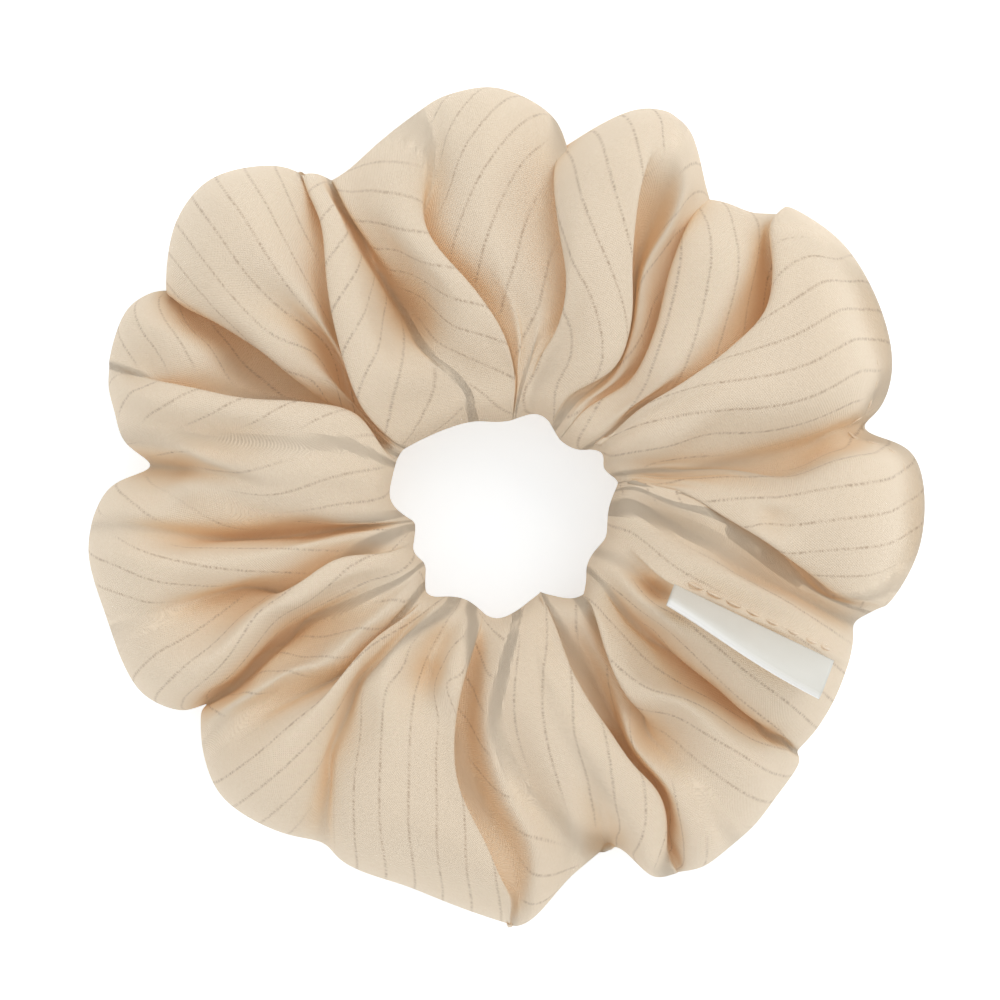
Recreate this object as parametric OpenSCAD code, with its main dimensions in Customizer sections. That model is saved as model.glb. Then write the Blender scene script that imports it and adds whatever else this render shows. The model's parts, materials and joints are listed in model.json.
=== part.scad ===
// Gathered fabric scrunchie: one cloth tube sewn into a ring round a flat elastic band,
// with a folded ribbon label caught in the seam that closes the ring.
// The scrunchie lies flat on z = 0 with its hair opening round the Z axis.

/* [Cover] */
// Radius of the open hole that the hair goes through
hole_r = 14.5; // [13:0.5:15]
// Reach of every puff, as a share of the sizes in PUFFS
puff_reach = 1; // [0.97:0.01:1.03]
// Radius of a full puff of cloth
puff_r = 14; // [13.5:0.25:14.5]
// Thickness of the cloth wall
wall_t = 0.8; // [0.6:0.1:1]
// Depth of the turned-in seam allowance
allowance_w = 6; // [4:0.5:7]

/* [Elastic] */
// Inner radius of the elastic loop
elastic_r = 17.5; // [17:0.25:18]
// Height of the flat elastic
elastic_w = 6; // [5:0.5:7]
// Thickness of the flat elastic
elastic_t = 1; // [0.8:0.1:1.2]
// Length of the overlap where the elastic's ends are joined
elastic_lap = 9; // [7:1:11]

/* [Label] */
// Length of the ribbon label along the seam
label_len = 25; // [22:1:26]
// Height of the folded label from the seam to its fold
label_h = 8.5; // [7:0.5:9]
// Thickness of one ply of ribbon
label_ply = 0.25; // [0.2:0.05:0.3]
// Angle that the label stands up from the cloth
label_rise = 50; // [45:5:60]

/* [Thread] */
// Radius of the sewing thread
thread_r = 0.2; // [0.15:0.05:0.25]
// Length of one stitch
stitch_len = 2.2; // [1.8:0.2:2.6]

/* [Hidden] */
$fn = 64;

CREAM = [0.93, 0.85, 0.75];
RAW_WHITE = [0.95, 0.94, 0.90];
SATIN_WHITE = [0.94, 0.93, 0.90];
THREAD_CREAM = [0.88, 0.78, 0.66];

// each puff of cloth: angle round the ring, reach from the axis, radius as a share of puff_r
PUFFS = [
    [-4, 59.9, 1.00], [24, 60.0, 0.97], [42, 60.5, 0.97], [66, 62.0, 0.93],
    [90, 60.4, 1.00], [109, 56.0, 0.93], [132, 62.6, 1.00], [155, 61.4, 1.00],
    [184, 60.2, 0.97], [203, 59.4, 0.97], [226, 58.4, 1.00], [250, 56.8, 0.95],
    [269, 60.4, 0.97], [299, 59.4, 1.00], [318, 56.5, 0.93], [335, 55.5, 0.93]
];
// the puffs whose outer edge is sewn shut after the tube is turned right side out
CLOSED_PUFFS = [0, 1, 2];

bed = 0.6;                        // how far the round puffs are pressed flat below
mid_z = puff_r - bed;             // height of the ring's middle plane
throat_r = 7.5;                   // radius of a puff's narrow end at the elastic
throat_at = 23.5;                 // distance of that narrow end from the axis
collar_r = 25.5;                  // outer radius of the collar that holds the elastic
collar_h = 16;                    // height of that collar
collar_round = 3;                 // radius of the collar's corners
allowance_in = 48.5;              // the turned-in allowance stays outside this radius
stitch_pitch = stitch_len + 0.8;  // spacing of stitches

// the seam that closes the ring, and that holds the label
seam_mid = [35.2, -16.4, 28.0];   // middle of the label's sewn edge
seam_turn = -25.5;                // direction of the seam, from +X
seam_fin_t = 1.6;                 // thickness of the two seam allowances together
seam_fin_h = 8;                   // depth of that seam below the label
seam_fin_len = 27;                // length of the seam's raised part
label_gap = 0.6;                  // clearance between the seam and the label
label_slit = 0.4;                 // space between the label's two plies

function puff_size(p) = p[2] * puff_r;
function puff_at(p) = p[1] * puff_reach - puff_size(p);
function puff_centre(p) = puff_at(p) * [cos(p[0]), sin(p[0])];

// one tapered puff of cloth, from the elastic to the outer edge, smaller by inset
module puff(p, inset) {
    translate([0, 0, mid_z]) rotate([0, 0, p[0]]) {
        translate([puff_at(p), 0, 0]) rotate([90, 0, 0]) rotate([0, 0, 180])
            sphere(r = puff_size(p) - inset);
        translate([throat_at, 0, 0]) rotate([0, 90, 0]) rotate([0, 0, 90])
            cylinder(
                h = puff_at(p) - throat_at,
                r1 = throat_r - inset,
                r2 = puff_size(p) * 0.96 - inset
            );
    }
}

// the collar of cloth round the hair opening, with a straight inner wall
module collar(inset) {
    h = collar_h / 2 - collar_round;
    rotate_extrude($fn = 128) translate([0, mid_z]) {
        translate([hole_r + inset, -h])
            square([collar_r - hole_r - 2 * inset, 2 * h]);
        translate([hole_r + collar_round, -collar_h / 2 + inset])
            square([collar_r - hole_r - 2 * collar_round, collar_h - 2 * inset]);
        for (x = [hole_r + collar_round, collar_r - collar_round], z = [-h, h])
            translate([x, z]) circle(r = collar_round - inset);
    }
}

module gathered_tube(inset) {
    collar(inset);
    for (p = PUFFS) puff(p, inset);
}

module below(z) {
    translate([0, 0, z - 50]) cube([200, 200, 100], center = true);
}

// the turned-in edges of the long seam, inside the puffs' outer edge
module seam_allowance() {
    translate([0, 0, mid_z - wall_t / 2]) linear_extrude(wall_t) difference() {
        for (p = PUFFS) translate(puff_centre(p)) circle(r = puff_size(p) - wall_t / 2);
        for (p = PUFFS) translate(puff_centre(p)) circle(r = puff_size(p) - allowance_w);
        circle(r = allowance_in, $fn = 128);
    }
}

module in_seam_frame() {
    translate(seam_mid) rotate([0, 0, seam_turn]) children();
}

// the two allowances of the closing seam, standing as one thin fin
module seam_fin() {
    in_seam_frame() translate([-seam_fin_len / 2, -seam_fin_t / 2, -label_gap - seam_fin_h])
        cube([seam_fin_len, seam_fin_t, seam_fin_h]);
}

module cover() {
    color(CREAM) {
        difference() {
            gathered_tube(0);
            difference() {
                gathered_tube(wall_t);
                below(wall_t);
            }
            below(0);
        }
        seam_allowance();
        seam_fin();
    }
}

// flat elastic, wound a little more than once so that its ends overlap
module elastic_band() {
    lap_deg = elastic_lap / elastic_r * 180 / PI;
    color(RAW_WHITE) translate([0, 0, mid_z - elastic_w / 2]) {
        rotate_extrude($fn = 128) translate([elastic_r, 0]) square([elastic_t, elastic_w]);
        rotate([0, 0, 150]) rotate_extrude(angle = lap_deg, $fn = 128)
            translate([elastic_r + elastic_t, 0]) square([elastic_t, elastic_w]);
    }
}

module stitch(len) {
    rotate([0, 90, 0]) cylinder(h = len, r = thread_r, center = true, $fn = 16);
}

// zigzag rows that tack the elastic's lapped ends together
module elastic_join_stitches() {
    legs = 5;
    leg_deg = 5;
    leg_h = elastic_w * 0.6;
    leg_run = elastic_r * leg_deg * PI / 180;
    leg_len = norm([leg_h, leg_run]) - 8 * thread_r;
    lean = atan2(leg_h, leg_run);
    color(THREAD_CREAM) for (face = [0, elastic_t * 2], i = [0:legs - 1])
        rotate([0, 0, 153 + i * leg_deg]) translate([elastic_r + face, 0, mid_z])
            rotate([i % 2 == 0 ? lean : -lean, 0, 0]) rotate([0, 0, 90]) stitch(leg_len);
}

// stitches along the outward arc of one puff, at radius r and height z
module stitch_arc(p, r, z) {
    step = stitch_pitch / r * 180 / PI;
    half = 36;
    translate(puff_centre(p)) for (a = [-half:step:half])
        rotate([0, 0, p[0] + a]) translate([r, 0, z]) rotate([0, 0, 90]) stitch(stitch_len);
}

// the seam down the whole length of the tube, through both turned-in edges
module long_seam_stitches() {
    color(THREAD_CREAM) for (p = PUFFS, side = [-1, 1])
        stitch_arc(p, puff_size(p) - 3, mid_z + side * wall_t / 2);
}

// edge stitches that close the gap left for turning the tube
module closing_stitches() {
    color(THREAD_CREAM) for (i = CLOSED_PUFFS)
        stitch_arc(PUFFS[i], puff_size(PUFFS[i]), mid_z);
}

// both faces of the seam that joins the tube's two ends
module cross_seam_stitches() {
    count = floor(seam_fin_len / stitch_pitch);
    color(THREAD_CREAM) in_seam_frame() for (side = [-1, 1], i = [0:count - 1])
        translate([(i - (count - 1) / 2) * stitch_pitch, side * seam_fin_t / 2, -label_gap - 1.5])
            stitch(stitch_len);
}

// ribbon folded in half: two plies that hang from the seam and join at the fold
module label() {
    fold_r = label_slit / 2 + label_ply;
    color(SATIN_WHITE) in_seam_frame() rotate([-label_rise, 0, 0])
        rotate([90, 0, 90]) linear_extrude(label_len, center = true) difference() {
            union() {
                translate([-label_h + fold_r, -fold_r])
                    square([label_h - fold_r - label_gap, 2 * fold_r]);
                translate([-label_h + fold_r, 0]) circle(r = fold_r, $fn = 32);
            }
            translate([-label_h + fold_r, -label_slit / 2]) square([label_h, label_slit]);
            translate([-label_h + fold_r, 0]) circle(r = label_slit / 2, $fn = 32);
        }
}

cover();
elastic_band();
elastic_join_stitches();
long_seam_stitches();
closing_stitches();
cross_seam_stitches();
label();
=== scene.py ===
"""Gathered cream scrunchie with a folded satin label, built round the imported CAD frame."""

import json
import math
import bpy
import numpy as np
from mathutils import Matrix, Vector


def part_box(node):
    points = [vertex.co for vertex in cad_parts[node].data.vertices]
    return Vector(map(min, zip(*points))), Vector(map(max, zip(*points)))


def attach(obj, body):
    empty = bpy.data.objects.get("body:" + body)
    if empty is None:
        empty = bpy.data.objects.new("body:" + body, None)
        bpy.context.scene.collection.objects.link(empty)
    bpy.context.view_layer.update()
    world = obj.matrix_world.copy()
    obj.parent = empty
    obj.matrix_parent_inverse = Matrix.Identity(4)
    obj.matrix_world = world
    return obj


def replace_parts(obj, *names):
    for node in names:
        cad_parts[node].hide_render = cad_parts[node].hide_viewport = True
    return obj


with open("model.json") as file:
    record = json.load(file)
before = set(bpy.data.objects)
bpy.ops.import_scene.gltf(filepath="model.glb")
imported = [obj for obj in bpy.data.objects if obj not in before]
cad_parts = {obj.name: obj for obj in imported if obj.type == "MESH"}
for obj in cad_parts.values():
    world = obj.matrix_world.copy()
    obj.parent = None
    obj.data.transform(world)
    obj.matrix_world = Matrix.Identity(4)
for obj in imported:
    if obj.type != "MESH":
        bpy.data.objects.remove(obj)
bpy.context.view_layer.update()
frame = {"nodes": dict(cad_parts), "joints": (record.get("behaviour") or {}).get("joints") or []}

MM = 0.001
RING = "scrunchie_ring"
FLAP = "label_flap"

# ---------------------------------------------------------------- the frame's own sizes

elastic_low, elastic_high = (np.array(c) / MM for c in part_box("elastic_band"))
MID_Z = float(elastic_low[2] + elastic_high[2]) / 2  # the ring's middle plane
hinge = frame["joints"][0]
SEAM_MID = np.array(hinge["pos_m"]) / MM  # middle of the label's sewn edge
SEAM_AXIS = -np.array(hinge["axis"])  # along that edge, away from the hair opening

# ---------------------------------------------------------------- the gathered cloth

# Every line of FOLDS is one run of cloth from the outer edge to the hair opening, in the
# order in which the cloth goes round. It holds the outer radius, then the angle in degrees
# and then the height above the table in millimetres, each at the six radii in STATIONS.
# Where an angle steps back, the cloth is tucked under the fold before or after it.
STATIONS = [55, 47, 39, 31, 24, 18]
FOLDS = [
    # a crease, and the twisted fold that comes out of it
    (53.0, (-18, -17.5, -15, -11, -5, 4), (16, 18, 19, 19.5, 18.5, 18)),
    (54.5, (-16.5, -15.5, -11.5, -5, 1, 9), (19, 20, 20, 22, 22, 19)),
    (56.0, (-15, -14.5, -6.5, -1, 5, 12), (18, 17, 13, 19, 20.5, 18.5)),
    # the panel above it, with the edge that was sewn shut last
    (57.0, (-14.3, -14.2, -9, -3, 4, 11), (21, 22, 21, 21, 21, 18.5)),
    (60.3, (-5, -3, -1, 3, 7, 13), (27, 28, 26, 22, 19, 18)),
    (59.6, (7.5, 7.5, 5, 9, 11, 14.5), (25, 25, 22, 18, 17, 17.5)),
    (53.5, (11.6, 10.8, 9, 11, 13, 15.5), (17, 18, 18, 18, 17.5, 17.5)),
    (52.7, (12.6, 12.8, 12.7, 13.2, 14.6, 17), (14, 14.5, 15.5, 17, 17, 17.5)),
    # the broad panel at the upper right
    (56.0, (14.6, 14.6, 15, 16, 17, 20), (20, 21, 21, 21, 20, 18)),
    (59.6, (20, 19, 19, 20, 20.5, 23), (26, 27, 27, 26, 24, 19)),
    (61.7, (31, 28, 27, 28, 28, 28), (27, 27.5, 28, 27, 25, 20)),
    (61.6, (40, 34.5, 32.8, 32.5, 33.5, 32), (24, 25, 25, 25, 23, 19)),
    (59.9, (46, 38, 35.8, 35, 36, 34), (20, 22, 23, 23, 21, 18)),
    (58.4, (45.4, 36.6, 34.6, 34.2, 35.4, 34), (17, 10, 17, 19, 19, 18)),
    # the narrow band beside it
    (57.4, (47.4, 40, 37.3, 36.4, 36.9, 35.2), (17, 16, 20, 22, 20.5, 18)),
    (55.2, (50.2, 45.5, 42.5, 40.5, 39.5, 38.8), (21, 23.5, 24, 24, 21.5, 19)),
    (54.2, (54.4, 53, 50, 46.4, 44, 45), (21, 23, 23.5, 23, 20, 18.5)),
    (53.0, (57, 56.8, 53.9, 49.3, 46.7, 50), (18, 20, 21, 21, 18.5, 18)),
    (52.6, (55.4, 54.9, 52, 47.4, 45.2, 50.6), (14, 15.5, 16.5, 17, 16, 17.5)),
    # a sliver of the layer below
    (54.8, (58.2, 57.4, 54.8, 50.2, 48.2, 52.4), (19, 20, 20, 19, 18, 18)),
    # the hollow behind the tall finger
    (57.6, (60.8, 60, 58.6, 53.2, 50.2, 54), (25, 24, 23, 21, 19, 18)),
    (60.4, (63.6, 62.8, 60.6, 55, 52, 56), (24, 17, 15.5, 17, 17, 17.5)),
    (61.4, (66.4, 66.4, 62.6, 56, 53.4, 58), (24, 15, 13, 16, 16.5, 17.5)),
    # the finger
    (61.6, (68, 65.4, 61.2, 54.4, 51.6, 57.4), (25.5, 25.5, 25.5, 24, 21, 18)),
    (60.8, (71, 70, 67, 61, 58, 64), (27, 28, 28, 27, 25, 20)),
    (56.8, (76, 77, 74.6, 69.5, 67.5, 72), (26, 27, 27, 26, 24, 19.5)),
    (51.6, (81.6, 81.4, 78.4, 74.4, 74, 76.6), (20, 23, 24.5, 24.5, 23, 19)),
    (54.6, (78, 79.6, 76.6, 73.4, 75, 79), (15, 16, 17, 19, 21, 19)),
    # the slanted panel at the top
    (57.8, (84.5, 85, 83.6, 81, 80, 81), (20, 21, 21.5, 22, 21.5, 18.5)),
    (60.6, (92, 93, 92, 89, 85, 81), (27, 28, 27, 25, 22, 18)),
    (60.0, (97.5, 98.8, 100.4, 94.5, 87.8, 79), (26, 25.5, 24.5, 23.5, 22.5, 18.5)),
    (59.2, (100.3, 102.3, 105.6, 98.8, 91.5, 82), (23, 20.5, 19.5, 20, 19.5, 17.5)),
    # the fold that crosses over it
    (58.4, (102, 103.6, 104, 96.7, 89.3, 79.5), (22.5, 22.5, 25.5, 26, 24, 18.5)),
    (55.6, (109, 110, 109, 103, 95, 86), (22, 25, 27, 27, 25, 19)),
    (53.6, (114, 115.5, 113.5, 108, 103, 94), (21, 22, 22, 22, 24, 19)),
    (53.2, (117.4, 118.1, 117.3, 114, 110, 101), (20, 21, 18, 13, 21, 19)),
    (53.4, (117.9, 118.4, 119.0, 118.4, 115, 105), (15, 15, 12, 9, 20, 19)),
    # the ridge that sweeps away from it
    (54.6, (118.9, 119.2, 119.5, 119.4, 119, 109), (19, 20, 20, 17, 21, 18.5)),
    (55.5, (120, 121.3, 124.5, 128, 131, 124), (22, 24, 26, 26, 25, 19)),
    (56.2, (121.5, 125, 131, 138, 145, 148), (22, 23.5, 24.5, 24, 21, 18)),
    (56.4, (120.2, 123, 128.4, 135.6, 143.6, 149), (18, 17.5, 17, 16, 16, 17.5)),
    # the tall round lobe
    (59.0, (123.5, 127, 131.2, 137.2, 144.6, 150.4), (23, 21.5, 20, 17, 16.5, 17.5)),
    (63.6, (132, 133, 134.5, 138.7, 145.2, 150.9), (28, 28, 25, 18, 16, 17)),
    (62.9, (138.5, 138.2, 138.2, 139.9, 145.7, 151.2), (27, 26.5, 20, 12, 15, 17)),
    (60.3, (143.6, 143.2, 142.6, 143.6, 146.4, 151.5), (26, 26, 25, 20, 16, 17)),
    (58.0, (147.2, 147, 147.5, 148, 147.2, 151.9), (18, 18, 19, 18, 15, 17)),
    (57.6, (146.0, 145.5, 146.4, 148.2, 147.3, 152.2), (11, 10, 10, 13, 14, 17)),
    # the lobe behind the deep gap
    (59.5, (148.7, 149.2, 151.9, 150.6, 148, 152.6), (17, 14, 12, 13, 14, 17)),
    (61.5, (152.5, 153, 154.8, 151.6, 148.6, 152.8), (25, 23, 15, 14, 13, 17)),
    (60.7, (159.8, 159.4, 157.6, 153, 149.5, 153.2), (22, 16, 14, 15, 15, 17)),
    (60.3, (160.6, 158.5, 156, 150.9, 147.4, 152.6), (22, 20, 20, 20, 19, 18)),
    (59.7, (163, 162, 160, 156, 153, 157), (27, 27, 27, 26, 24, 19.5)),
    (57.6, (166.6, 166.3, 165.6, 163, 160, 162), (24, 22, 22, 25, 24, 20)),
    (55.6, (170.6, 170.5, 170.8, 170, 168, 168), (21, 23, 25, 26, 25, 20)),
    (50.4, (173.7, 173.3, 173.8, 176, 175, 174), (15, 18, 23, 25, 24, 20)),
    # the wide double lobe at the left
    (56.5, (176.4, 176.4, 178.3, 180.6, 180.5, 180), (20, 22, 24, 24, 23, 19)),
    (58.8, (180.3, 182.3, 184.4, 186, 186.3, 187), (24, 22.5, 21, 20, 20, 18.5)),
    (59.6, (182.6, 185, 186.2, 186.9, 187, 188), (23, 18.5, 14, 12.5, 13.5, 17)),
    (60.3, (188, 190, 190.6, 190.6, 190, 190), (27, 27, 26, 24, 20, 17.5)),
    (59.6, (194, 194.8, 195.8, 197.2, 195, 193), (25.5, 23.5, 22, 20.5, 19, 18)),
    (59.4, (197.5, 197.8, 198.4, 201, 198, 198.5), (24, 18, 14, 15, 16, 17.5)),
    (59.4, (201.5, 201, 199.4, 199.8, 196.5, 197.5), (24.5, 21, 18.5, 20.5, 20.5, 18.5)),
    (58.8, (207, 207, 205, 204, 202, 205), (27, 28, 27, 26, 24, 19)),
    (55.0, (212.3, 212.6, 211.2, 207.8, 206.5, 211), (18, 18, 20, 20, 21, 18)),
    (51.3, (213.4, 213.5, 212.6, 210.4, 211, 214), (14, 12.5, 9, 12.5, 19, 18)),
    # a twisted ridge and the lobe beside it
    (52.6, (214, 213.7, 214.2, 215.8, 216.5, 217.5), (18, 19, 18, 17, 19, 18)),
    (54.2, (216.3, 215.6, 217, 220, 221.5, 220.5), (23, 24, 25, 24, 22, 18.5)),
    (55.6, (218.4, 217.6, 219.9, 223.6, 225.4, 224), (22, 21, 21, 21, 20, 18)),
    (56.6, (220.4, 220, 221.4, 224.2, 225.8, 226), (22.5, 20, 18, 18, 17.5, 17.5)),
    (58.4, (227, 227, 226.6, 226.6, 227.5, 228), (27, 27, 26, 23, 19, 17)),
    (56.4, (237.4, 235, 231.8, 229.4, 229.4, 231), (23, 22.5, 21.5, 20, 18.5, 17.5)),
    (54.6, (242, 238, 234.2, 231, 230.9, 232.8), (17, 19, 19.5, 18.5, 17.5, 17.5)),
    # the broad panel at the lower left
    (55.6, (243.6, 238.6, 234.6, 231.2, 231.4, 234), (21, 22, 22.5, 22, 20.5, 18.5)),
    (56.4, (249, 247, 244, 239, 236, 238), (26, 27, 27, 26, 22, 19)),
    (56.3, (255, 252.5, 249.5, 245.5, 243, 245), (26, 27.5, 27.5, 26, 16, 17.5)),
    (57.6, (262, 259, 255.5, 252.5, 250.5, 252), (27, 28, 27, 26, 24, 19)),
    (60.0, (270.6, 267.3, 261.2, 257.9, 257.3, 258.6), (23.5, 24.5, 24.5, 24, 21.5, 18)),
    (60.2, (269.8, 266.2, 260.2, 257, 256.8, 259), (17, 16.5, 16, 15.5, 15.5, 17)),
    # the smooth panel at the bottom
    (60.4, (272, 269.4, 264, 260, 259, 261), (20, 18, 18, 18, 18, 17.5)),
    (58.8, (274.8, 274.5, 270, 265.5, 264, 266), (24, 24, 24, 24, 22, 19)),
    (54.6, (279.3, 279.3, 275, 270.5, 269, 270), (19, 21, 22, 24, 24, 20)),
    (52.4, (284, 282.5, 280.4, 277, 275, 275), (17, 23, 26, 26, 25, 20)),
    (50.9, (288, 287.4, 285.2, 282, 280, 280), (13, 18, 26, 26.5, 25, 20)),
    (57.6, (291.8, 292.3, 290.6, 288, 286, 286), (25, 26, 27, 26, 25, 19)),
    (58.2, (294.6, 297.9, 296.3, 294.2, 292.3, 292.4), (21, 23, 24.5, 24, 21.5, 18)),
    (58.3, (295.6, 297, 295.4, 293.3, 291.8, 293), (13, 11, 9.5, 12, 15, 17)),
    # a thin ridge and the fold that crosses it
    (58.9, (297.5, 298.4, 297.6, 297.4, 298, 300.5), (20, 15.5, 13.5, 15, 16.5, 18)),
    (59.2, (300, 300, 299.9, 301, 304, 307), (25, 24, 22, 19, 18, 17.5)),
    (58.6, (304.6, 304.3, 303.4, 303.8, 307.4, 309.5), (25, 23, 15, 15, 16, 17.5)),
    (58.4, (307.5, 306.6, 304.6, 302.4, 305.8, 308.8), (25.5, 24, 18.5, 20.5, 19.5, 18)),
    (57.2, (313, 313, 311, 308.5, 310, 312), (26, 27, 27, 25, 23, 19)),
    (56.2, (319.3, 318.5, 317.5, 315, 315.8, 319), (21, 19, 20, 19, 19, 17.5)),
    (55.0, (320, 318.9, 318.4, 317.3, 317.6, 321), (20, 14, 11.5, 13.5, 16.5, 17.5)),
    # the flat band that carries the label
    (54.9, (321.2, 319.2, 319.7, 320, 320.6, 324), (22, 20, 20, 20, 20, 17.5)),
    (55.2, (325, 325, 325, 325.5, 326, 330), (23, 25, 26, 26, 25, 18.5)),
    (55.0, (330.5, 330.5, 330.5, 331, 331.5, 336), (24, 26, 26.5, 26.5, 19, 18)),
    (54.5, (334.6, 334.6, 334.5, 334.7, 335.6, 342), (24, 25.6, 25.5, 25.5, 23.2, 18)),
    (54.4, (335.5, 335.5, 335.5, 335.7, 336.5, 343), (25.5, 26.9, 26.8, 26.8, 24.1, 18)),
    (54.3, (336.3, 336.4, 336.5, 336.8, 337.6, 344.4), (24, 25.5, 25.4, 25.4, 23.6, 18)),
    (53.8, (339, 339.6, 341, 343, 346, 353), (22, 24, 25, 25, 23, 18.5)),
]

# The flat panels between the tucks: the line of FOLDS along each one's crest, and the slant of
# its stripes from the radial direction in degrees
PANELS = [
    (1, -50), (4, 22), (10, -19), (15, 20), (20, -24), (24, 26), (29, -34), (33, 46), (38, -50),
    (42, -4), (48, -30), (51, 38), (53, 18), (56, -24), (58, -20), (62, 17), (66, -38), (69, -7),
    (74, 3), (79, 45), (82, -14), (87, -22), (90, 15), (94, -3), (99, -5),
]

# Small hollows and rises in the cloth: angle, radius, width, and change of height
DENTS = [
    (246.5, 25.8, 1.7, -4), (243, 24.4, 2.4, 2), (331, 24.6, 1.1, -6), (327, 27, 2.0, 2),
    (139, 35, 3.2, -1.5), (357, 38.4, 1.7, -3), (352, 37.5, 2.4, 2), (286.5, 49.8, 2.0, -3.5),
    (286, 44.5, 3.0, 1.5), (173, 45.5, 1.4, -2), (176.5, 44.5, 2.4, 2), (213, 36, 3.0, -1),
]

# The outline of the hair opening, as angle and radius
OPENING = [
    (0, 14.4), (12, 16.6), (21, 15.2), (30, 16.0), (38, 13.2), (48, 12.4), (57, 13.0), (69, 14.5),
    (78, 13.3), (90, 12.1), (102, 12.5), (120, 13.9), (138, 14.8), (150, 16.6), (166, 16.6),
    (180, 16.2), (189, 13.2), (196, 13.1), (206, 14.6), (216, 14.0), (228, 16.6), (243, 14.3),
    (254, 14.7), (264, 16.1), (276, 15.1), (288, 13.6), (296, 13.5), (306, 16.6), (313, 16.8),
    (324, 14.5), (333, 14.2), (345, 15.4),
]

FLANGE_FROM, FLANGE_TO = -8.0, 36.0  # where the outer edge was sewn shut by hand
FLANGE_W = 3.4  # of the pinched edge there
COLUMN_PITCH = 1.1  # of the mesh, along the tube
ROWS = 64  # of the mesh, round the tube
EDGE_ROUND = 11.0  # how far in from the outer edge the cloth reaches its height
OVERLAP = 2.2  # how much further a tuck runs under the fold that covers it
RIM_OVERLAP = 0.3  # the share of that at the outer edge
NEAR_OVERLAP = 0.5  # the share of that at the radius of 24 mm
SHALLOW_Z = 15  # tucks above this height stay near their covering edge
OPENING_Z = 17.9  # the least height of the folds at the hair opening
DEEPEST = 12.9  # how far the underside may go below the middle plane
THINNEST = 1.5  # of the tube, between its top and its underside
FLOOR_CLEAR = 0.5  # height of the lowest point of the cloth's middle surface
PACED_ROWS = slice(6, ROWS // 2 - 12)  # on top, where the length of cloth is measured
OPENING_BAND, OPENING_SMOOTH = 4, 0.7  # rows that are smoothed at the hair opening, and how much
RIM_BAND, RIM_SMOOTH = 2, 0.12  # and at the outer rim
EDGE_PASSES = 10
CLOTH_T = 0.45  # thickness of the cloth
STRIPE_MEET = 20.0  # how far round the tube the stripes of two panels meet
CREST_Z = 27.0  # height of the tops of the folds
FOLD_DEPTH = 0.78  # how deep the folds are, as a share of FOLDS
TUCK_DROP = 4.5  # how far below its covering edge a shallow tuck lies
EDGE_LIFT = 0.75  # how far the edge over a tuck rises towards its crest
SIM_SCALE = 0.01  # the cloth settles at ten times its size
SIM_GROW = 0.03  # the share by which it grows as it settles
SIM_PRESSURE = 0.6  # inside it, in Blender's units
SIM_CAP = 1.4  # the furthest that a point of the cloth may move
ELASTIC_IN = 17.3  # radii between which the cloth stays clear of the elastic
ELASTIC_OUT = 20.0
ELASTIC_CLEAR = 3.9  # half the height of that clear space


def smooth_through(x, y, at, period=None, tension=1.0):
    """The smooth curve through the points (x, y), at `at`; y may hold arrays.

    For a curve that comes round again, period is (x gained, y gained) in one turn.
    """
    x = np.asarray(x, float)
    y = np.asarray(y, float)
    if period is not None:
        turn, gain = period
        x = np.concatenate([x[-2:] - turn, x, x[:2] + turn])
        y = np.concatenate([y[-2:] - gain, y, y[:2] + gain])
    slope = np.gradient(y, x, axis=0) * tension
    i = np.clip(np.searchsorted(x, at, side="right") - 1, 0, len(x) - 2)
    h = x[i + 1] - x[i]
    f = (at - x[i]) / h
    shape = (-1,) + (1,) * (y.ndim - 1)
    f, h = f.reshape(shape), h.reshape(shape)
    return (
        (2 * f**3 - 3 * f**2 + 1) * y[i]
        + (f**3 - 2 * f**2 + f) * h * slope[i]
        + (3 * f**2 - 2 * f**3) * y[i + 1]
        + (f**3 - f**2) * h * slope[i + 1]
    )


def opening_radius(angle):
    angles, radii = np.array(OPENING, float).T
    return smooth_through(angles, radii, np.mod(angle, 360), period=(360, 0))


def rounding(distance, reach):
    """0 at an edge, rising as a quarter of an ellipse to 1 at `reach` from it."""
    return np.sqrt(1 - (1 - np.clip(distance / reach, 0, 1)) ** 2)


def blurred(grid):
    """Every point of a grid moved part of the way to the mean of its four neighbours."""
    around = np.roll(grid, 1, 0) + np.roll(grid, -1, 0)
    across = np.roll(grid, 1, 1) + np.roll(grid, -1, 1)
    return 0.4 * grid + 0.15 * (around + across)


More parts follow.
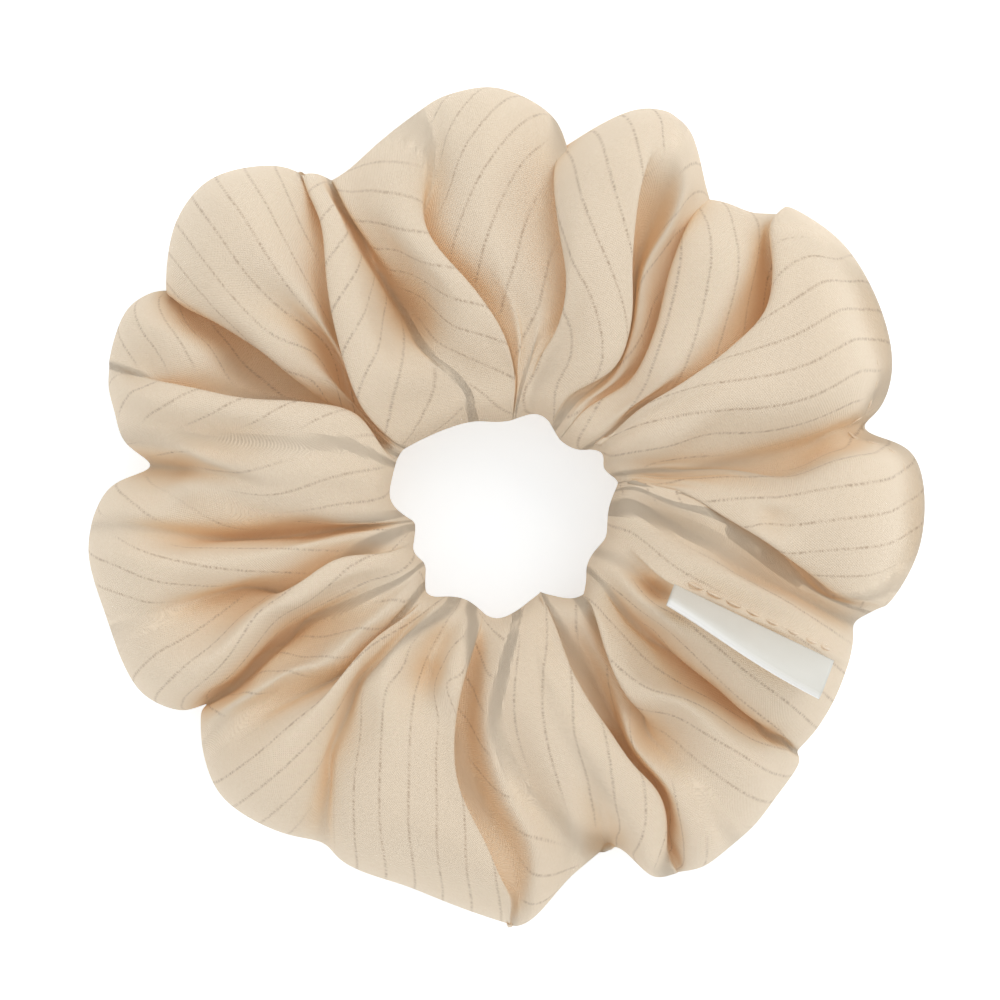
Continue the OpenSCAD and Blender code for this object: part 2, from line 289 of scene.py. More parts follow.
def deeper_tucks(folds):
    """The same folds with every tuck pushed further under the edge that covers it."""
    outers, angles, heights = (np.array(part, float) for part in zip(*folds))
    pushed = angles.copy()
    reach = OVERLAP / np.array(STATIONS)
    reach[0] *= RIM_OVERLAP
    reach[STATIONS.index(24)] *= NEAR_OVERLAP
    following = np.roll(angles, -1, 0)
    following[-1] += 360
    back = following < angles
    heights = CREST_Z - (CREST_Z - heights) * FOLD_DEPTH
    drop = heights - np.roll(heights, -1, 0)
    push = np.degrees(reach) * np.clip(np.abs(drop) / 3, 0.4, 1)
    before, after = np.roll(heights, 1, 0), np.roll(heights, -2, 0)
    lift_here = np.where(back & (drop > 0), EDGE_LIFT * np.maximum(before - heights, 0), 0)
    over = np.roll(heights, -1, 0)
    lift_next = np.where(back & (drop < 0), EDGE_LIFT * np.maximum(after - over, 0), 0)
    heights = heights + lift_here + np.roll(lift_next, 1, 0)
    over_next = np.roll(back & (drop > 0), 1, 0)
    shallow = heights > SHALLOW_Z
    near_edge = np.roll(heights, 1, 0) - TUCK_DROP
    heights = np.where(over_next & shallow, np.maximum(heights, near_edge), heights)
    near_edge = np.roll(heights, -1, 0) - TUCK_DROP
    heights = np.where(back & (drop < 0) & shallow, np.maximum(heights, near_edge), heights)
    pushed -= np.roll(np.where(back & (drop > 0), push, 0), 1, 0)
    pushed += np.where(back & (drop < 0), push, 0)
    heights[:, -1] = np.maximum(heights[:, -1], OPENING_Z)
    for station in (0, -1):
        pushed[:, station] = np.maximum.accumulate(pushed[:, station])
    return list(zip(outers, pushed, heights))


def fold_section(fold):
    """The closed loop of cloth at one fold: ROWS points of angle, radius and height."""
    outer, angles, heights = fold
    stations = STATIONS[::-1]
    inner = float(opening_radius(np.array([angles[-1]]))[0])
    turn = np.arange(ROWS) * 2 * math.pi / ROWS
    radius = (outer + inner) / 2 + (outer - inner) / 2 * np.cos(turn)
    at = np.clip(radius, stations[0], stations[-1])
    angle = smooth_through(stations, angles[::-1], at)
    height = smooth_through(stations, heights[::-1], at)
    edge = rounding(outer - radius, EDGE_ROUND)
    flange = np.clip((min(angles[0] - FLANGE_FROM, FLANGE_TO - angles[0])) / 3, 0, 1)
    pinched = 0.04 + 0.96 * rounding(outer - radius - FLANGE_W, EDGE_ROUND)
    edge = (1 - flange) * edge + flange * np.where(outer - radius > 0.01, pinched, 0)
    edge = edge * rounding(radius - inner, np.clip(ELASTIC_IN + 1.2 - inner, 2, 5))
    top = MID_Z + (height - MID_Z) * edge
    under = MID_Z - np.clip(height - MID_Z, 2.5, DEEPEST) * 0.98 * edge
    under = np.minimum(under, top - THINNEST * edge)
    z = np.where(turn <= math.pi, top, under)
    return np.stack([angle, radius, z], axis=1)


def from_polar(grid):
    """Points x, y, z from points angle, radius, height."""
    a = np.radians(grid[:, :, 0])
    return np.stack([grid[:, :, 1] * np.cos(a), grid[:, :, 1] * np.sin(a), grid[:, :, 2]], axis=2)


def smoothed_edges(points):
    """The grid with its outer rim a little smoother and its hair opening much smoother."""
    row = np.arange(ROWS)
    at_opening = np.exp(-(((row - ROWS / 2) / OPENING_BAND) ** 2))
    at_rim = np.exp(-((np.minimum(row, ROWS - row) / RIM_BAND) ** 2))
    strength = (OPENING_SMOOTH * at_opening + RIM_SMOOTH * at_rim)[None, :, None]
    for _ in range(EDGE_PASSES):
        around = (np.roll(points, 1, 0) + np.roll(points, -1, 0)) / 2
        points = points + strength * (around - points)
    return points


def gathered_tube():
    """The grid of the whole tube in millimetres, and the column at each line of FOLDS."""
    sections = np.array([fold_section(f) for f in deeper_tucks(FOLDS)])
    first = sections[:1].copy()
    first[:, :, 0] += 360
    loop = np.concatenate([sections, first])
    gaps = np.linalg.norm(np.diff(from_polar(loop)[:, PACED_ROWS], axis=0), axis=2).mean(axis=1)
    along = np.concatenate([[0], np.cumsum(gaps)])
    at = []
    for i, gap in enumerate(gaps):
        n = max(2, round(gap / COLUMN_PITCH))
        at += [along[i] + gap * k / n for k in range(n)]
    if len(at) % 2:
        at.append(along[-1] - 0.5 * (along[-1] - at[-1]))
    at = np.array(at)
    turn_once = np.zeros_like(sections[0])
    turn_once[:, 0] = 360
    grid = smooth_through(along[:-1], sections, at, period=(along[-1], turn_once), tension=0.9)
    points = smoothed_edges(blurred(from_polar(grid)))
    for angle, radius, width, rise in DENTS:
        place = radius * np.array([math.cos(math.radians(angle)), math.sin(math.radians(angle))])
        away = np.linalg.norm(points[:, : ROWS // 2, :2] - place, axis=2) / width
        points[:, : ROWS // 2, 2] += rise * np.exp(-(away**2))
    fold_columns = [int(np.argmin(np.abs(at - a))) for a in along[:-1]]
    return clear_of_elastic(points), fold_columns


def clear_of_elastic(points):
    """Lifts the cloth off the elastic inside it, and off the table."""
    radius = np.linalg.norm(points[:, :, :2], axis=2)
    near = np.clip(np.minimum(radius - ELASTIC_IN, ELASTIC_OUT - radius) / 0.5 + 1, 0, 1)
    half = ROWS // 2
    z = points[:, :, 2]
    clear = np.where(near > 0, ELASTIC_CLEAR * near, -20)
    z[:, :half] = np.maximum(z[:, :half], MID_Z + clear[:, :half])
    z[:, half:] = np.minimum(z[:, half:], MID_Z - clear[:, half:])
    points[:, :, 2] = np.maximum(z, FLOOR_CLEAR)
    return points


def collection_object(name, mesh):
    piece = bpy.data.objects.new(name, mesh)
    bpy.context.scene.collection.objects.link(piece)
    return piece


def thread_map(points, fold_columns):
    """The place of every point in the flat cloth, in mm: along the tube and round it.

    Each panel is flat cloth whose stripes run parallel, at the slant given in PANELS. The map
    passes from one panel to the next where the cloth between them lies lowest; the third
    result falls to 0 there, to hide the stripes, and is 1 elsewhere. It doesn't hide them all:
    some still spread into grey bands where the slant changes.
    """
    columns, rows = points.shape[:2]
    closed = np.concatenate([points, points[:1]])
    steps = np.linalg.norm(np.diff(closed, axis=0), axis=2)
    arc = np.concatenate([np.zeros((1, rows)), np.cumsum(steps, axis=0)])
    round_tube = np.linalg.norm(np.roll(points, -1, 1) - points, axis=2).mean(axis=0)
    tube = np.concatenate([[0], np.cumsum(round_tube)])
    closed_tube = np.concatenate([arc, arc[:, :1]], axis=1)
    anchors = [fold_columns[f] for f, _ in PANELS]
    slants = [math.radians(a) for _, a in PANELS]
    anchors_on = anchors + [anchors[0] + columns]
    slants_on = slants + [slants[0]]
    total = closed_tube[-1]
    low = np.concatenate([points[:, :, 2], points[:, :, 2]])

    def arc_at(column):
        turns, column = divmod(column, columns)
        return closed_tube[column] + turns * total

    s_map = np.zeros((columns + 1, rows + 1))
    t_map = np.zeros((columns + 1, rows + 1))
    seen = np.ones((columns + 1, rows + 1))
    top = slice(4, rows // 2 - 2)
    start = 0.0
    for k in range(len(anchors)):
        a, b = anchors_on[k], anchors_on[k + 1]
        valley = a + 1 + np.argmin(low[a + 1 : b, top], axis=0)
        valley = np.convolve(np.pad(valley, 5, mode="edge"), np.ones(11) / 11, mode="valid")
        middle = np.interp(np.arange(rows + 1), np.arange(rows)[top], valley)
        row = np.argmin(np.abs(tube - STRIPE_MEET))
        length_at = arc_at(a), arc_at(round(middle[row])), arc_at(b)
        reach = [hi[row] - lo[row] for lo, hi in zip(length_at, length_at[1:])]
        cosines = math.cos(slants_on[k]), math.cos(slants_on[k + 1])
        following = start + reach[0] * cosines[0] + reach[1] * cosines[1]
        for i in range(a, b + 1):
            column = i % columns
            here = arc_at(i)
            sides = []
            nearest = (a, slants_on[k], start), (b, slants_on[k + 1], following)
            for anchor, slant, origin in nearest:
                from_anchor = here - arc_at(anchor)
                sides.append((
                    origin + from_anchor * math.cos(slant) + (tube - STRIPE_MEET) * math.sin(slant),
                    tube * math.cos(slant) - from_anchor * math.sin(slant),
                ))
            weight = np.clip((i - middle) / 3 + 0.5, 0, 1)
            s_here = (1 - weight) * sides[0][0] + weight * sides[1][0]
            t_here = (1 - weight) * sides[0][1] + weight * sides[1][1]
            s_map[column], t_map[column] = s_here, t_here
            seen[column] = np.clip(np.abs(i - middle) / 1.5 - 1.4, 0, 1)
        start = following
    s_map[-1], t_map[-1] = s_map[0], t_map[0]
    return s_map, t_map, seen


def tube_mesh(name, points):
    """The closed tube of quads on a grid of points."""
    columns, rows = points.shape[:2]
    index = np.arange(columns * rows).reshape(columns, rows)
    next_column = np.roll(index, -1, 0)
    corners = [index, next_column, np.roll(next_column, -1, 1), np.roll(index, -1, 1)]
    quads = np.stack(corners, axis=2).reshape(-1, 4)
    mesh = bpy.data.meshes.new(name)
    mesh.from_pydata(points.reshape(-1, 3).tolist(), [], quads.tolist())
    return mesh


def grid_mesh(name, points, fold_columns):
    """A closed tube from its grid, with the cloth's own millimetres as its UV map."""
    columns, rows = points.shape[:2]
    mesh = tube_mesh(name, points * MM)
    s, t, seen = thread_map(points, fold_columns)
    stripe = mesh.attributes.new("stripe", "FLOAT", "POINT")
    stripe.data.foreach_set("value", seen[:columns, :rows].reshape(-1).astype(np.float32))
    i, j = np.meshgrid(np.arange(columns), np.arange(rows), indexing="ij")
    corners = [(i, j), (i + 1, j), (i + 1, j + 1), (i, j + 1)]
    uv = np.stack([np.stack([s[a, b], t[a, b]], axis=2) for a, b in corners], axis=2)
    layer = mesh.uv_layers.new(name="cloth")
    layer.data.foreach_set("uv", (uv.reshape(-1) * MM).astype(np.float32))
    mesh.polygons.foreach_set("use_smooth", [True] * len(mesh.polygons))
    mesh.update()
    return mesh


# ---------------------------------------------------------------- the label's sizes

LABEL_LEN = 25.0
LABEL_DEEP = 8.5  # from the seam to the fold
LABEL_RISE = math.radians(60)
LABEL_TWIST = 8  # degrees that the inner end stands up more, and the outer end less
RIBBON_T = 0.2  # thickness of one ply

# ---------------------------------------------------------------- materials


class Nodes:
    """Short calls for building one node tree."""

    def __init__(self, name):
        self.material = bpy.data.materials.new(name)
        self.material.use_nodes = True
        self.tree = self.material.node_tree
        self.shader = self.tree.nodes["Principled BSDF"]

    def add(self, kind, values=None, **settings):
        node = self.tree.nodes.new("ShaderNode" + kind)
        for key, value in settings.items():
            setattr(node, key, value)
        for key, value in (values or {}).items():
            if isinstance(value, bpy.types.NodeSocket):
                self.tree.links.new(value, node.inputs[key])
            else:
                node.inputs[key].default_value = value
        return node

    def math(self, operation, a, b=0.0, c=0.0, clamp=False):
        values = {0: a, 1: b, 2: c}
        return self.add("Math", values, operation=operation, use_clamp=clamp).outputs[0]

    def noise(self, vector, scale, detail, roughness=0.5):
        values = {"Vector": vector, "Scale": scale, "Detail": detail, "Roughness": roughness}
        return self.add("TexNoise", values).outputs[0]

    def remap(self, value, low, high, to_low, to_high):
        return self.add("MapRange", {0: value, 1: low, 2: high, 3: to_low, 4: to_high}).outputs[0]

    def mix(self, factor, a, b, blend="MIX"):
        node = self.add("Mix", data_type="RGBA", blend_type=blend)
        for socket, value in ((node.inputs[0], factor), (node.inputs[6], a), (node.inputs[7], b)):
            if isinstance(value, bpy.types.NodeSocket):
                self.tree.links.new(value, socket)
            else:
                socket.default_value = value
        return node.outputs[2]

    def link(self, output, socket):
        self.tree.links.new(output, self.shader.inputs[socket])


def linear(red, green, blue):
    """An sRGB colour, 0 to 255, as Blender's linear one."""
    parts = [c / 255 for c in (red, green, blue)]
    return tuple(((c + 0.055) / 1.055) ** 2.4 if c > 0.04045 else c / 12.92 for c in parts) + (1.0,)


STRIPE_PITCH = 4.4
STRIPE_HALF = 0.075  # half a stripe's width, as a share of that pitch
WARP_PITCH, WEFT_PITCH = 0.42, 0.38  # of the threads of the weave


def cloth_material():
    n = Nodes("cream_pinstripe_cloth")
    uv = n.add("UVMap", uv_map="cloth").outputs["UV"]
    parts = n.add("SeparateXYZ", {0: uv})
    s = n.math("MULTIPLY", parts.outputs[0], 1000.0)
    t = n.math("MULTIPLY", parts.outputs[1], 1000.0)
    # thin brown picks, broken where the pick dips under the other threads
    wander = n.noise(uv, 60.0, 1.0)
    s_wander = n.math("ADD", s, n.math("MULTIPLY", n.math("SUBTRACT", wander, 0.5), 0.5))
    phase = n.math("FRACT", n.math("DIVIDE", s_wander, STRIPE_PITCH))
    off = n.math("ABSOLUTE", n.math("SUBTRACT", phase, 0.5))
    line = n.math("SUBTRACT", 1.0, n.math("DIVIDE", off, STRIPE_HALF), clamp=True)
    pick_at = n.add("CombineXYZ", {0: n.math("MULTIPLY", s, 1.4), 1: n.math("MULTIPLY", t, 3.6)})
    picks = n.noise(pick_at.outputs[0], 1.0, 1.0)
    dash = n.remap(picks, 0.42, 0.6, 0.15, 1.0)
    stripe_number = n.math("FLOOR", n.math("DIVIDE", s_wander, STRIPE_PITCH))
    patchy_at = n.add("CombineXYZ", {0: stripe_number, 1: t})
    patchy = n.noise(patchy_at.outputs[0], 0.9, 2.0)
    strength = n.remap(patchy, 0.3, 0.7, 0.55, 1.0)
    line = n.math("MULTIPLY", n.math("MULTIPLY", line, dash), strength)
    line = n.math("MULTIPLY", line, n.add("Attribute", attribute_name="stripe").outputs["Fac"])
    # the weave: fine threads both ways, with slubs
    warp = n.math("SINE", n.math("MULTIPLY", s, 2 * math.pi / WARP_PITCH))
    weft = n.math("SINE", n.math("MULTIPLY", t, 2 * math.pi / WEFT_PITCH))
    weave = n.math("MULTIPLY", warp, weft)
    slub = n.noise(uv, 2400.0, 3.0, 0.6)
    crepe = n.noise(uv, 350.0, 3.0, 0.55)
    tone = n.noise(uv, 40.0, 2.0)
    cream = n.mix(n.remap(tone, 0.3, 0.7, 0.0, 1.0), linear(236, 219, 196), linear(239, 223, 201))
    fleck = n.remap(slub, 0.35, 0.7, 0.0, 0.5)
    cream = n.mix(fleck, cream, linear(230, 210, 183))
    thread_tone = n.remap(weave, -1.0, 1.0, 0.0, 0.22)
    cream = n.mix(thread_tone, cream, linear(222, 201, 173))
    colour = n.mix(n.math("MULTIPLY", line, 0.75), cream, linear(158, 132, 108))
    # painted shade and glow: an ambient-occlusion mask darkens and warms the base colour in the hollows
    # of the folds, standing in for light that would pass through the cloth
    fold_occlusion = n.add("AmbientOcclusion", {"Distance": 0.008}, samples=6, inside=False)
    painted_fold_shade_and_glow = n.remap(fold_occlusion.outputs["AO"], 0.1, 0.8, 1.0, 0.0)
    colour = n.mix(painted_fold_shade_and_glow, colour, (1.0, 0.87, 0.70, 1), blend="MULTIPLY")
    n.link(colour, "Base Color")
    # painted glow: the same mask makes the hollows of the folds give off a faint orange light, though
    # the cloth is no lamp
    n.shader.inputs["Emission Color"].default_value = (1.0, 0.60, 0.34, 1)
    n.link(n.math("MULTIPLY", painted_fold_shade_and_glow, 0.075), "Emission Strength")
    height = n.math("ADD", n.math("MULTIPLY", weave, 0.35), n.math("MULTIPLY", crepe, 0.9))
    height = n.math("ADD", height, n.math("MULTIPLY", slub, 0.5))
    bump = n.add("Bump", {"Height": height, "Strength": 0.75, "Distance": 0.0002})
    n.link(bump.outputs[0], "Normal")
    n.shader.inputs["Roughness"].default_value = 0.85
    n.shader.inputs["Sheen Weight"].default_value = 0.1
    n.shader.inputs["Sheen Roughness"].default_value = 0.5
    n.shader.inputs["Sheen Tint"].default_value = linear(255, 244, 228)
    n.shader.inputs["Specular IOR Level"].default_value = 0.2
    return n.material


RIB_PITCH = 0.28  # of the satin's fine ribs
FOLD_HIGHLIGHT_HALF_WIDTH = 0.9  # half the width of the painted highlight along the fold


def satin_material():
    n = Nodes("white_satin_ribbon")
    uv = n.add("UVMap", uv_map="cloth").outputs["UV"]
    parts = n.add("SeparateXYZ", {0: uv})
    t = n.math("MULTIPLY", parts.outputs[1], 1000.0)
    ribs = n.math("SINE", n.math("MULTIPLY", t, 2 * math.pi / RIB_PITCH))
    floats = n.noise(uv, 1800.0, 2.0)
    tone = n.noise(uv, 120.0, 2.0)
    white = n.mix(tone, linear(209, 207, 198), linear(220, 218, 210))
    # painted highlight: a bright white line along the label's fold, where the folded edge catches the
    # light
    from_fold = n.math("ABSOLUTE", n.math("SUBTRACT", t, LABEL_DEEP + 0.4))
    painted_fold_highlight = n.math("SUBTRACT", 1.0, n.math("DIVIDE", from_fold, FOLD_HIGHLIGHT_HALF_WIDTH), clamp=True)
    white = n.mix(painted_fold_highlight, white, linear(252, 252, 250))
    n.link(white, "Base Color")
    height = n.math("ADD", n.math("MULTIPLY", ribs, 0.5), floats)
    bump = n.add("Bump", {"Height": height, "Strength": 0.25, "Distance": 0.00006})
    n.link(bump.outputs[0], "Normal")
    n.shader.inputs["Roughness"].default_value = 0.36
    n.shader.inputs["Anisotropic"].default_value = 0.5
    n.shader.inputs["Sheen Weight"].default_value = 0.15
    return n.material


def thread_material():
    n = Nodes("cream_sewing_thread")
    place = n.add("TexCoord").outputs["Object"]
    waves = {"Vector": place, "Scale": 900.0, "Distortion": 1.5}
    twist = n.add("TexWave", waves, bands_direction="DIAGONAL").outputs[1]
    fuzz = n.noise(place, 2500.0, 2.0)
    n.link(n.mix(fuzz, linear(216, 192, 164), linear(240, 222, 198)), "Base Color")
    bump = n.add("Bump", {"Height": twist, "Strength": 0.5, "Distance": 0.00005})
    n.link(bump.outputs[0], "Normal")
    n.shader.inputs["Roughness"].default_value = 0.7
    n.shader.inputs["Sheen Weight"].default_value = 0.2
    return n.material


def elastic_material():
    n = Nodes("braided_elastic")
    place = n.add("TexCoord").outputs["Object"]
    parts = n.add("SeparateXYZ", {0: place})
    angle = n.math("ARCTAN2", parts.outputs[1], parts.outputs[0])
    ribs = n.math("SINE", n.math("MULTIPLY", angle, 150.0))
    rows = n.math("SINE", n.math("MULTIPLY", parts.outputs[2], 2 * math.pi / 0.0009))
    braid = n.math("MULTIPLY", ribs, rows)
    shade = n.math("MULTIPLY_ADD", braid, 0.5, 0.5, clamp=True)
    n.link(n.mix(shade, linear(222, 218, 208), linear(246, 244, 238)), "Base Color")
    bump = n.add("Bump", {"Height": braid, "Strength": 0.6, "Distance": 0.0002})
    n.link(bump.outputs[0], "Normal")
    n.shader.inputs["Roughness"].default_value = 0.75
    return n.material


CLOTH = cloth_material()
SATIN = satin_material()
THREAD = thread_material()
ELASTIC = elastic_material()

# ---------------------------------------------------------------- the cover


def settled(points, frames=10):
    """The grid after the cloth has settled: it swells, buckles a little and lies against itself.

    The cloth settles on every second column and row; the rest follow smoothly between them.
    """
    fine_columns, fine_rows = points.shape[:2]
    coarse = points[::2, ::2]
    columns, rows = coarse.shape[:2]
    mesh = tube_mesh("settling_cloth", coarse * SIM_SCALE)
    piece = collection_object("settling_cloth", mesh)
    radius = np.linalg.norm(coarse[:, :, :2], axis=2)
    from_edge = np.abs(np.arange(rows) - rows / 2) / (rows / 2)
    weight = np.maximum(np.clip((30 - radius) / 10, 0, 1), np.clip((from_edge - 0.7) / 0.2, 0, 1))
    held = piece.vertex_groups.new(name="held")
    for i, w in enumerate(weight.reshape(-1)):
        if w > 0:
            held.add([i], float(w), "REPLACE")
    modifier = piece.modifiers.new("cloth", "CLOTH")
    cloth = modifier.settings
    cloth.quality = 5
    cloth.mass = 0.3
    cloth.tension_stiffness = cloth.compression_stiffness = 20
    cloth.shear_stiffness = 6
    cloth.bending_stiffness = 0.5
    cloth.air_damping = 2
    cloth.vertex_group_mass = "held"
    cloth.pin_stiffness = 2
    cloth.shrink_min = cloth.shrink_max = -SIM_GROW
    cloth.use_pressure = True
    cloth.uniform_pressure_force = SIM_PRESSURE
    cloth.effector_weights.gravity = 0
    modifier.collision_settings.use_collision = False
    modifier.collision_settings.use_self_collision = True
    modifier.collision_settings.self_distance_min = 0.5 * SIM_SCALE
    modifier.point_cache.frame_start = 1
    modifier.point_cache.frame_end = frames
    scene = bpy.context.scene
    for f in range(1, frames + 1):
        scene.frame_set(f)
    result = piece.evaluated_get(bpy.context.evaluated_depsgraph_get()).to_mesh()
    after = np.empty(columns * rows * 3)
    result.vertices.foreach_get("co", after)
    after = after.reshape(columns, rows, 3) / SIM_SCALE
    scene.frame_set(1)
    bpy.data.objects.remove(piece)
    move = after - coarse
    size = np.linalg.norm(move, axis=2, keepdims=True)
    move *= np.minimum(1, SIM_CAP / np.maximum(size, 1e-9))
    fine = np.zeros_like(points)
    fine[::2, ::2] = move
    odd_columns = np.arange(1, fine_columns, 2)
    fine[odd_columns] = (fine[odd_columns - 1] + fine[(odd_columns + 1) % fine_columns]) / 2
    fine[:, 1::2] = (fine[:, 0::2] + np.roll(fine[:, 0::2], -1, 1)) / 2
    return points + blurred(blurred(fine))


def make_cover():
    points, fold_columns = gathered_tube()
    points = clear_of_elastic(settled(points))
    mesh = grid_mesh("gathered_cover", points, fold_columns)
    mesh.materials.append(CLOTH)
    cover = collection_object("gathered_cover", mesh)
    smooth = cover.modifiers.new("smooth", "SUBSURF")
    smooth.levels = smooth.render_levels = 1
    shell = cover.modifiers.new("cloth", "SOLIDIFY")
    shell.thickness = CLOTH_T * MM
    shell.offset = -1
    return cover, points


cover, cover_points = make_cover()
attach(cover, RING)
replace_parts(cover, "cover")

# ---------------------------------------------------------------- thread

THREAD_R = 0.17
STITCH = 2.2
STITCH_GAP = 0.9
THREAD_SIDES = 6
STITCH_POINTS = 7  # along one stitch
LONG_SEAM_ROW = 7  # of the cover's mesh, on the line of the long seam
EDGE_ROW = 5  # and on the edge that was sewn shut
CROSS_SEAM_OFF = 1.2  # of each row of stitches from the label's sewn edge
CROSS_SEAM_SUNK = 0.3  # how far those stitches lie in the cloth


def stitches_along(name, path, bury=0.25):
    """Separate stitches along a path of points; each rises at its middle and dives at its ends."""
    steps = np.linalg.norm(np.diff(path, axis=0), axis=1)
    along = np.concatenate([[0], np.cumsum(steps)])
    verts, faces = [], []
    upward = np.array([0, 0, 1.0])
    arch = np.sin(np.linspace(0, math.pi, STITCH_POINTS))[:, None]
    for start in np.arange(0.3, along[-1] - STITCH, STITCH + STITCH_GAP):
        at = start + STITCH * np.linspace(0, 1, STITCH_POINTS)
        spine = np.stack([np.interp(at, along, path[:, k]) for k in range(3)], axis=1)
        spine = spine + upward * (THREAD_R * 1.2 * arch - bury * (1 - arch))
        tangent = np.gradient(spine, axis=0)
        tangent /= np.linalg.norm(tangent, axis=1)[:, None]
        side = np.cross(tangent, upward)
        side /= np.linalg.norm(side, axis=1)[:, None] + 1e-9
        out = np.cross(side, tangent)
        first = len(verts)
        last = first + (STITCH_POINTS - 1) * THREAD_SIDES
        for k in range(STITCH_POINTS):
            for j in range(THREAD_SIDES):
                a = 2 * math.pi * j / THREAD_SIDES
                verts.append(spine[k] + THREAD_R * (math.cos(a) * side[k] + math.sin(a) * out[k]))
        for k in range(STITCH_POINTS - 1):
            for j in range(THREAD_SIDES):
                n = (j + 1) % THREAD_SIDES
                low, high = first + k * THREAD_SIDES, first + (k + 1) * THREAD_SIDES
                faces.append((low + j, low + n, high + n, high + j))
        faces.append(tuple(first + j for j in reversed(range(THREAD_SIDES))))
        faces.append(tuple(last + j for j in range(THREAD_SIDES)))
    mesh = bpy.data.meshes.new(name)
    mesh.from_pydata((np.array(verts) * MM).tolist(), [], faces)
    mesh.polygons.foreach_set("use_smooth", [True] * len(mesh.polygons))
    mesh.materials.append(THREAD)
    piece = collection_object(name, mesh)
    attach(piece, RING)
    return piece


def make_seams(points):
    inside = (points[:, LONG_SEAM_ROW] + points[:, -LONG_SEAM_ROW]) / 2
    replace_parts(stitches_along("long_seam_thread", inside), "long_seam_stitches")

    angle = np.degrees(np.arctan2(points[:, 0, 1], points[:, 0, 0]))
    first = int(np.argmin(np.abs(angle - FLANGE_FROM - 3)))
    last = int(np.argmin(np.abs(angle - FLANGE_TO + 2)))
    edge = points[first:last, EDGE_ROW]
    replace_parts(stitches_along("closing_edge_thread", edge), "closing_stitches")

    across = np.array([-SEAM_AXIS[1], SEAM_AXIS[0], 0])
    top = points[:, 2 : ROWS // 2 - 2].reshape(-1, 3)
    for name, side in (("left", -1), ("right", 1)):
        line = []
        for d in np.arange(-11, 13.5, 0.7):
            at = SEAM_MID + SEAM_AXIS * d + across * side * CROSS_SEAM_OFF
            near = np.linalg.norm(top[:, :2] - at[:2], axis=1) < 0.7
            height = top[near, 2].max() if near.any() else SEAM_MID[2]
            line.append((at[0], at[1], height - CROSS_SEAM_SUNK))
        line = np.array(line)
        line[:, 2] = np.convolve(np.pad(line[:, 2], 2, mode="edge"), np.ones(5) / 5, mode="valid")
        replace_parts(stitches_along(f"cross_seam_thread_{name}", line, bury=0.5), "cross_seam_stitches")


make_seams(cover_points)

# ---------------------------------------------------------------- the label


def make_label():
    """A ribbon folded in half: it starts just above the seam, rolls over and comes back.

    profile_d and profile_n are its section, away from the seam and across its own thickness.
    """
    across = np.array([-SEAM_AXIS[1], SEAM_AXIS[0], 0])
    profile_d = np.array([0.1, 1.5, 3.5, 5.5, 7.2, 8.1, LABEL_DEEP, 8.1, 7.2, 5.5, 3.5, 1.5, 0.1])
    lower_n = [-0.12, -0.3, -0.5, -0.62, -0.68, -0.5]
    upper_n = [0.5, 0.62, 0.5, 0.35, 0.22, 0.12]
    profile_n = np.array(lower_n + [0] + upper_n)
    steps = np.concatenate([[0], np.cumsum(np.hypot(np.diff(profile_d), np.diff(profile_n)))])
    t = np.linspace(0, steps[-1], 49)
    d = smooth_through(steps, profile_d, t)
    n = smooth_through(steps, profile_n, t)
    s = np.linspace(-LABEL_LEN / 2, LABEL_LEN / 2, 51)
    verts, uvs = [], []
    for x in s:
        u = x / (LABEL_LEN / 2)
        rise = LABEL_RISE - math.radians(LABEL_TWIST) * u
        away = -across * math.cos(rise) + np.array([0, 0, math.sin(rise)])
        normal = np.cross(SEAM_AXIS, away)
        bow = 0.35 * math.sin(2.2 * u + 0.4) * (d / LABEL_DEEP) ** 1.5
        lean = 0.5 * u * (d / LABEL_DEEP) ** 2
        short = 1 - 0.02 * u * u
        off = np.outer(d * short, away) + np.outer(n + bow + lean * 0.5, normal)
        verts.append(SEAM_MID + SEAM_AXIS * x + off)
        uvs.append(np.stack([np.full(len(t), x), t], axis=1))
    verts, uvs = np.array(verts), np.array(uvs)
    columns, rows = verts.shape[:2]
    index = np.arange(columns * rows).reshape(columns, rows)
    corners = [index[:-1, :-1], index[1:, :-1], index[1:, 1:], index[:-1, 1:]]
    quads = np.stack(corners, axis=2).reshape(-1, 4)
    mesh = bpy.data.meshes.new("folded_satin_label")
    mesh.from_pydata((verts.reshape(-1, 3) * MM).tolist(), [], quads.tolist())
    layer = mesh.uv_layers.new(name="cloth")
    uv = uvs.reshape(-1, 2)[quads.reshape(-1)] * MM
    layer.data.foreach_set("uv", uv.reshape(-1).astype(np.float32))
    mesh.polygons.foreach_set("use_smooth", [True] * len(mesh.polygons))
    mesh.materials.append(SATIN)
    label = collection_object("folded_satin_label", mesh)
    shell = label.modifiers.new("ribbon", "SOLIDIFY")
    shell.thickness = RIBBON_T * MM
    shell.offset = 0
    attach(label, FLAP)
    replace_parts(label, "label")
    return label


label = make_label()

# ---------------------------------------------------------------- the pieces kept from the CAD


def dress_node(node, material):
    piece = frame["nodes"][node]
    for slot in piece.material_slots:
        slot.material = material


dress_node("elastic_band", ELASTIC)
dress_node("elastic_join_stitches", THREAD)

# ---------------------------------------------------------------- floor, light and camera

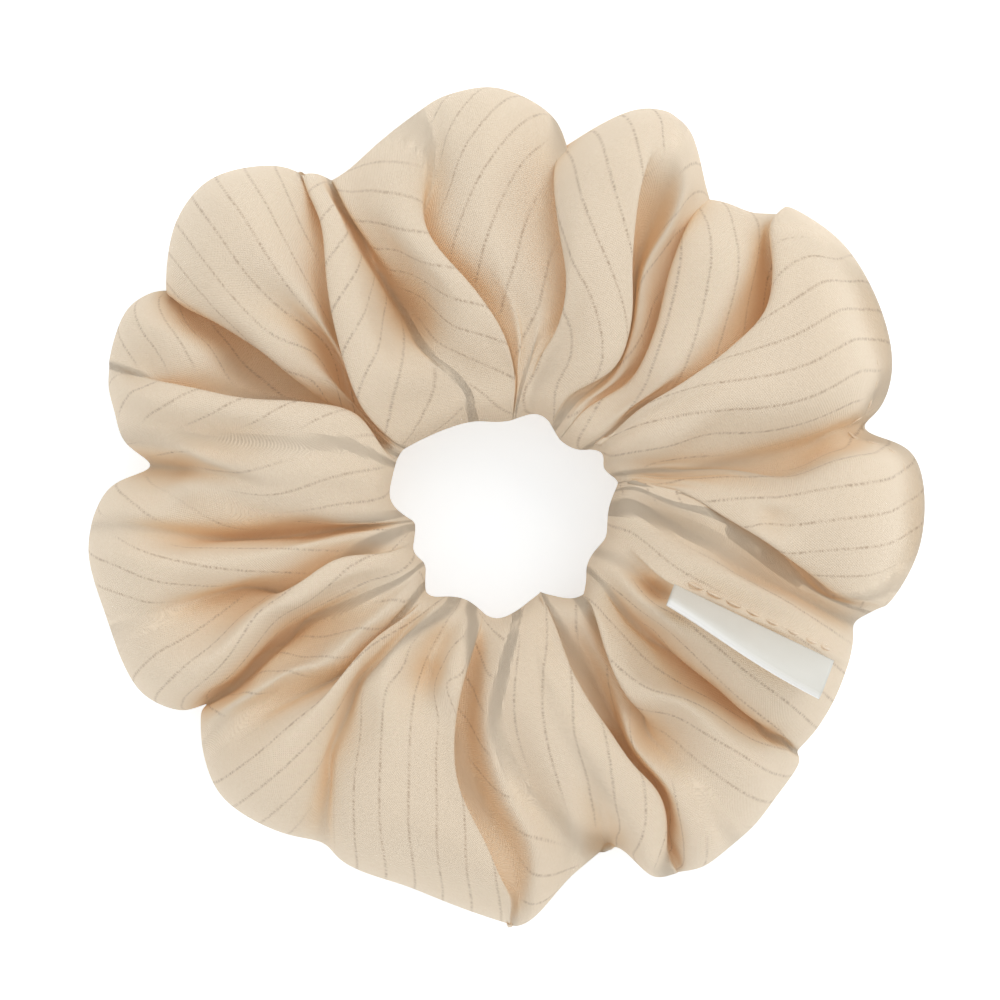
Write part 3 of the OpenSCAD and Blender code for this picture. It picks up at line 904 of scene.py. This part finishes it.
VIEW_CENTRE = (-0.65, 1.0)
VIEW_WIDTH = 143.4
LENS, SENSOR = 200.0, 36.0
VIEW_PLANE = 16.0  # height at which the view is VIEW_WIDTH across


def make_floor():
    half = 1.5
    mesh = bpy.data.meshes.new("floor")
    corners = [(-half, -half, 0), (half, -half, 0), (half, half, 0), (-half, half, 0)]
    mesh.from_pydata(corners, [], [(0, 1, 2, 3)])
    n = Nodes("plain_white_floor")
    place = n.add("TexCoord").outputs["Object"]
    grain = n.noise(place, 400.0, 2.0)
    n.link(n.mix(grain, linear(246, 250, 254), linear(248, 252, 255)), "Base Color")
    n.shader.inputs["Roughness"].default_value = 0.9
    n.shader.inputs["Emission Color"].default_value = (0.84, 0.92, 1.0, 1)
    n.shader.inputs["Emission Strength"].default_value = 0.4
    mesh.materials.append(n.material)
    floor = collection_object("floor", mesh)


def area_light(name, place, size, power, colour=(1, 1, 1)):
    lamp = bpy.data.lights.new(name, "AREA")
    lamp.size = size
    lamp.energy = power
    lamp.color = colour
    light = bpy.data.objects.new(name, lamp)
    light.location = place
    direction = -np.array(place)
    yaw = math.atan2(direction[1], direction[0])
    pitch = math.atan2(-direction[2], math.hypot(direction[0], direction[1]))
    light.rotation_euler = (math.pi / 2 - pitch, 0, yaw - math.pi / 2)
    bpy.context.scene.collection.objects.link(light)


def make_light():
    world = bpy.data.worlds.new("studio")
    bpy.context.scene.world = world
    world.use_nodes = True
    world.node_tree.nodes["Background"].inputs[0].default_value = (1, 1, 1, 1)
    world.node_tree.nodes["Background"].inputs[1].default_value = 0.9
    area_light("key", (0.38, 0.42, 0.62), 0.5, 1.3)


def make_camera():
    lens = bpy.data.cameras.new("camera")
    lens.lens = LENS
    lens.sensor_width = SENSOR
    distance = VIEW_WIDTH * LENS / SENSOR + VIEW_PLANE
    camera = bpy.data.objects.new("camera", lens)
    camera.location = (VIEW_CENTRE[0] * MM, VIEW_CENTRE[1] * MM, distance * MM)
    bpy.context.scene.collection.objects.link(camera)
    bpy.context.scene.camera = camera


make_floor()
make_light()
make_camera()
bpy.context.scene.view_settings.view_transform = "Standard"
